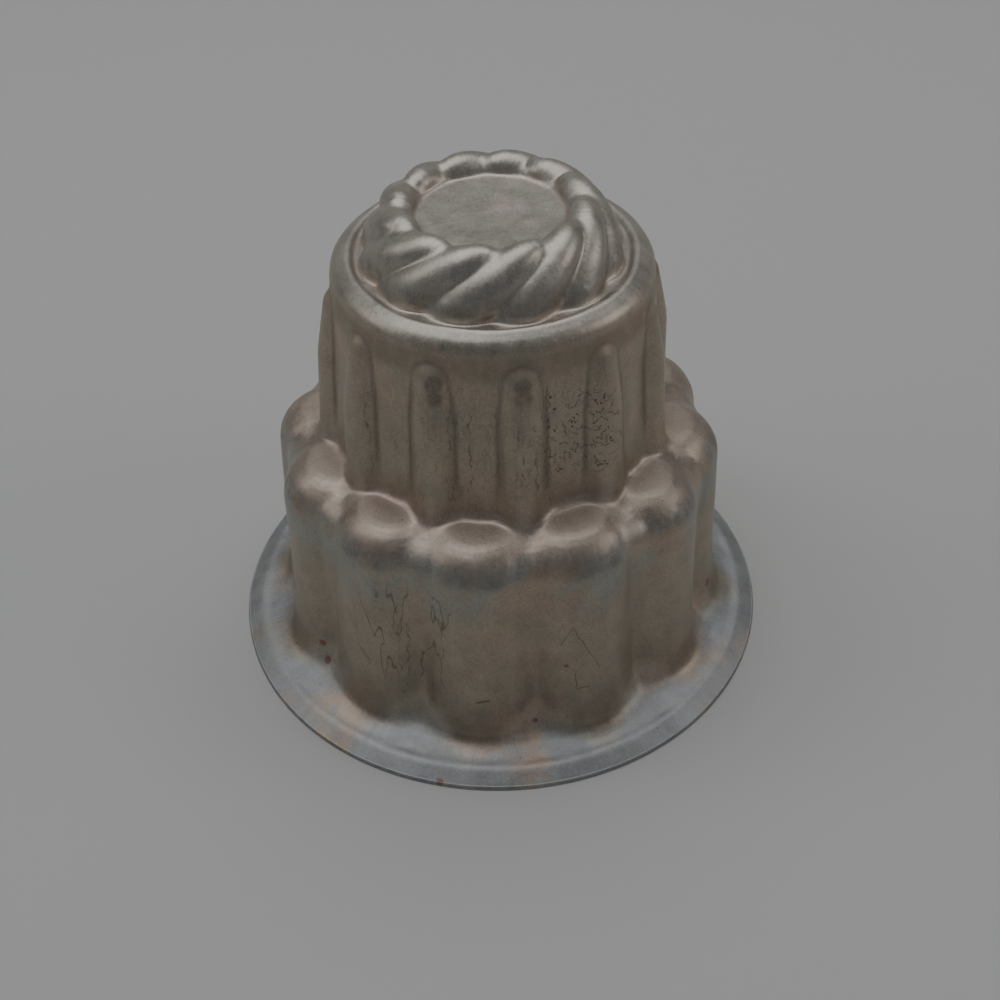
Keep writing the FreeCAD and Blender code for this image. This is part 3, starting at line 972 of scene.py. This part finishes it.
# %% [markdown]
# Pits, soot and painted shade. Small pits lie all over, and finer ones crowd together in patches. A
# soft dark bloom, partly soot from the stove and partly painted shade, lies on the heads of two ribs
# and on the lobes' shoulders, and thinner below the rim and at the foot of the rope ring.

# %% pits, soot and painted shade
pits = effect("pits", {"Spacing": 3.4, "Radius": 0.28, "Share": 0.22})["Mask"]
fine_pits = effect("pits", {"Spacing": 0.95, "Radius": 0.16, "Share": 0.35})["Mask"]
fine_pits = times(fine_pits, fade(tree, patches, 0.45, 0.6))

HEADS = [
    ((-14.2, -40.4, 105.5), 3.2),
    ((-14.2, -41.4, 102.0), 3.0),
    ((6.4, -42.6, 106.0), 3.2),
    ((6.6, -43.2, 102.5), 3.0),
]
heads = most(*[spot_at(centre, radius, 0.7) for centre, radius in HEADS])
# Painted shade on the lobes' shoulders, on the slopes that face the viewer.
shoulders = times(band(slope, 0.1, 0.35, 0.6, 0.85), band(height, 50.0, 55.0, 64.0, 67.0))
shoulders = times(shoulders, fade(tree, lobe_wave, -0.6, 0.5))
# Dark bloom, partly soot and partly painted shade below the rim and in the crease at the foot of the
# rope ring.
soot_and_shade = most(heads, shoulders, times(rim_wall, 0.5), ring_foot)
soot_and_shade = times(soot_and_shade, fade(tree, patches, 0.34, 0.62))
soot_and_shade = times(soot_and_shade, plus(0.4, fade(tree, grain, 0.36, 0.6), 0.6))

dark = most(
    strokes,
    times(water, 0.75),
    times(runs, 0.65),
    times(scratches, 0.7),
    times(pits, 0.8),
    times(fine_pits, 0.7),
    times(soot_and_shade, 0.75),
    dots,
)
print("rib heads with soot:", len(HEADS) // 2)

# %% [markdown]
# Putting the colour together. The tones are shaded by the grain, the lines and the patches, and
# the dark marks and red specks go on top. Where a mark lies the surface is less metallic, and so
# are the level tops of the lobes, which caught most of the grime.

# %% colour and metal
MARK_BLACK = (0.05, 0.042, 0.035, 1)
RUST_RED = (0.24, 0.07, 0.05, 1)
shade = swing(1.0, grain, 0.8)
shade = swing(shade, lines, 0.22)
shade = swing(shade, broad_lines, 0.35)
shade = swing(shade, patches, 0.5)
shaded = put(tree, "ShaderNodeVectorMath", {0: tone, "Scale": shade}, operation="SCALE")
colour = blend(times(dark, 0.75), shaded.outputs["Vector"], MARK_BLACK)
colour = blend(times(specks, 0.6), colour, RUST_RED)
feed(tree, shader.inputs["Base Color"], colour)
feed(tree, shader.inputs["Metallic"], plus(plus(0.88, dark, -0.5), lobe_tops, -0.25))
print("colour set")

# %% [markdown]
# Gloss and relief. The same effects make the surface rougher or smoother. The ring and the disc
# are a little glossier than the rest, and the lobes' tops, the wall below the rim and the flange
# are duller. The relief is about a tenth of a millimetre deep, with soft ripples on the top and
# the ledge, which keep their highlights from looking new.

# %% gloss and relief
RELIEF_DEPTH = 0.0001
rough = plus(0.33, patches, 0.2)
rough = plus(rough, top, -0.03)
rough = plus(rough, lobe_tops, 0.22)
rough = plus(rough, rim_wall, 0.16)
rough = plus(rough, flange, 0.1)
rough = swing(rough, lines, 0.3)
rough = plus(rough, dark, 0.2)
feed(tree, shader.inputs["Roughness"], swing(rough, grain, 0.25))
ripples = times(noise(tree, place, 2.6, 1.0), most(top, ledge))
relief = plus(times(grain, 0.6), lines, 0.25)
relief = plus(relief, ripples, 1.6)
relief = plus(relief, patches, 1.5)
bump = put(tree, "ShaderNodeBump", {"Height": relief, "Strength": 0.5, "Distance": RELIEF_DEPTH})
feed(tree, shader.inputs["Normal"], bump.outputs["Normal"])
print("nodes in the finish:", len(tree.nodes))

# %% the sheet in its place
sheet.data.materials.append(metal)
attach(sheet, "root")
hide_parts("mould")
print("piece:", sheet.name, "with", sheet.data.materials[0].name)

# %% [markdown]
# The stage: a pale floor that reaches far in front and to the sides, and sweeps up well behind
# the mould like a sheet of paper hung on a wall. A metal surface shows what stands round it, so
# the sweep, which stays out of the picture, is what the level faces of the mould reflect.

# %% floor
FLOOR_REACH = 3.0
SWEEP_START = 0.6
SWEEP_RADIUS = 0.3
SWEEP_TOP = 1.3
SWEEP_STEPS = 12
sweep = [(-FLOOR_REACH, 0.0), (SWEEP_START, 0.0)]
for step in range(1, SWEEP_STEPS + 1):
    angle = math.radians(90 * step / SWEEP_STEPS)
    back = SWEEP_START + SWEEP_RADIUS * math.sin(angle)
    sweep.append((back, SWEEP_RADIUS - SWEEP_RADIUS * math.cos(angle)))
sweep.append((SWEEP_START + SWEEP_RADIUS, SWEEP_TOP))
corners = []
for back, up in sweep:
    corners += [(-FLOOR_REACH, back, up), (FLOOR_REACH, back, up)]
panels = [(2 * n, 2 * n + 1, 2 * n + 3, 2 * n + 2) for n in range(len(sweep) - 1)]
floor_mesh = bpy.data.meshes.new("floor")
floor_mesh.from_pydata(corners, [], panels)
floor_mesh.shade_smooth()
floor = bpy.data.objects.new("floor", floor_mesh)
bpy.context.scene.collection.objects.link(floor)
paint = bpy.data.materials.new("pale_floor")
paint.use_nodes = True
floor_shader = paint.node_tree.nodes["Principled BSDF"]
floor_shader.inputs["Base Color"].default_value = (0.49, 0.492, 0.48, 1)
floor_shader.inputs["Roughness"].default_value = 0.85
floor.data.materials.append(paint)
floor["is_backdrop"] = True
print("floor and sweep:", len(panels), "panels")

# %% [markdown]
# Plain soft light. One wide soft box hangs above and a little behind the mould, and two weak ones
# stand at the sides. The room itself stays dim, so faces turned to the viewer come out dark.


# %% light
def softbox(name, place, aim, size, power, tint):
    """Large soft light that looks at a point."""
    lamp = bpy.data.lights.new(name, "AREA")
    lamp.shape = "RECTANGLE"
    lamp.size, lamp.size_y = size
    lamp.energy = power
    lamp.color = tint
    holder = bpy.data.objects.new(name, lamp)
    bpy.context.scene.collection.objects.link(holder)
    holder.location = place
    holder.rotation_euler = (Vector(aim) - Vector(place)).to_track_quat("-Z", "Y").to_euler()
    return holder


OVERHEAD = (-0.1, 0.26, 1.3)
LEFT = (-1.3, 0.0, 0.8)
RIGHT = (1.3, -0.1, 0.7)
MIDDLE = (0, 0, 0.06)
softbox("top_softbox", OVERHEAD, (0, 0.1, 0), (1.9, 1.2), 10.5, (0.97, 0.99, 1.0))
softbox("left_softbox", LEFT, MIDDLE, (0.8, 0.7), 2, (1.0, 0.97, 0.94))
softbox("right_softbox", RIGHT, MIDDLE, (0.8, 0.7), 2.4, (1.0, 0.96, 0.92))
world = bpy.data.worlds.new("room")
world.use_nodes = True
world.node_tree.nodes["Background"].inputs["Color"].default_value = (0.48, 0.5, 0.53, 1)
world.node_tree.nodes["Background"].inputs["Strength"].default_value = 0.28
bpy.context.scene.world = world
print("lights:", len(bpy.data.lights), "soft boxes and a dim room")

# %% [markdown]
# The camera looks down at the mould from the front, as one looks at a thing on a table, and is
# rolled a little, as a camera held by hand is.

# %% camera
LENS = 48.6
SENSOR = 36.0
CAMERA_PLACE = (0.0005, -0.2844, 0.2911)
lean = math.radians(42.12)
roll = math.radians(-1.43)
away = Vector((0, -math.cos(lean), math.sin(lean)))
level = Vector((1, 0, 0))
upward = Vector((0, math.sin(lean), math.cos(lean)))
right = level * math.cos(roll) + upward * math.sin(roll)
above = upward * math.cos(roll) - level * math.sin(roll)
camera_data = bpy.data.cameras.new("camera")
camera_data.lens = LENS
camera_data.sensor_width = SENSOR
camera = bpy.data.objects.new("camera", camera_data)
bpy.context.scene.collection.objects.link(camera)
turn = Matrix((right, above, away)).transposed()
camera.matrix_world = Matrix.Translation(CAMERA_PLACE) @ turn.to_4x4()
bpy.context.scene.camera = camera
print("camera at", CAMERA_PLACE, "m with a", LENS, "mm lens")

# %% [markdown]
# Last, the box of the finished model is measured and printed, as the box of the frame was. The
# finish changes nothing of the mould's size.

# %% box of the finished model
low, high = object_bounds()
print("box of the model in metres:", tuple(low), tuple(high))
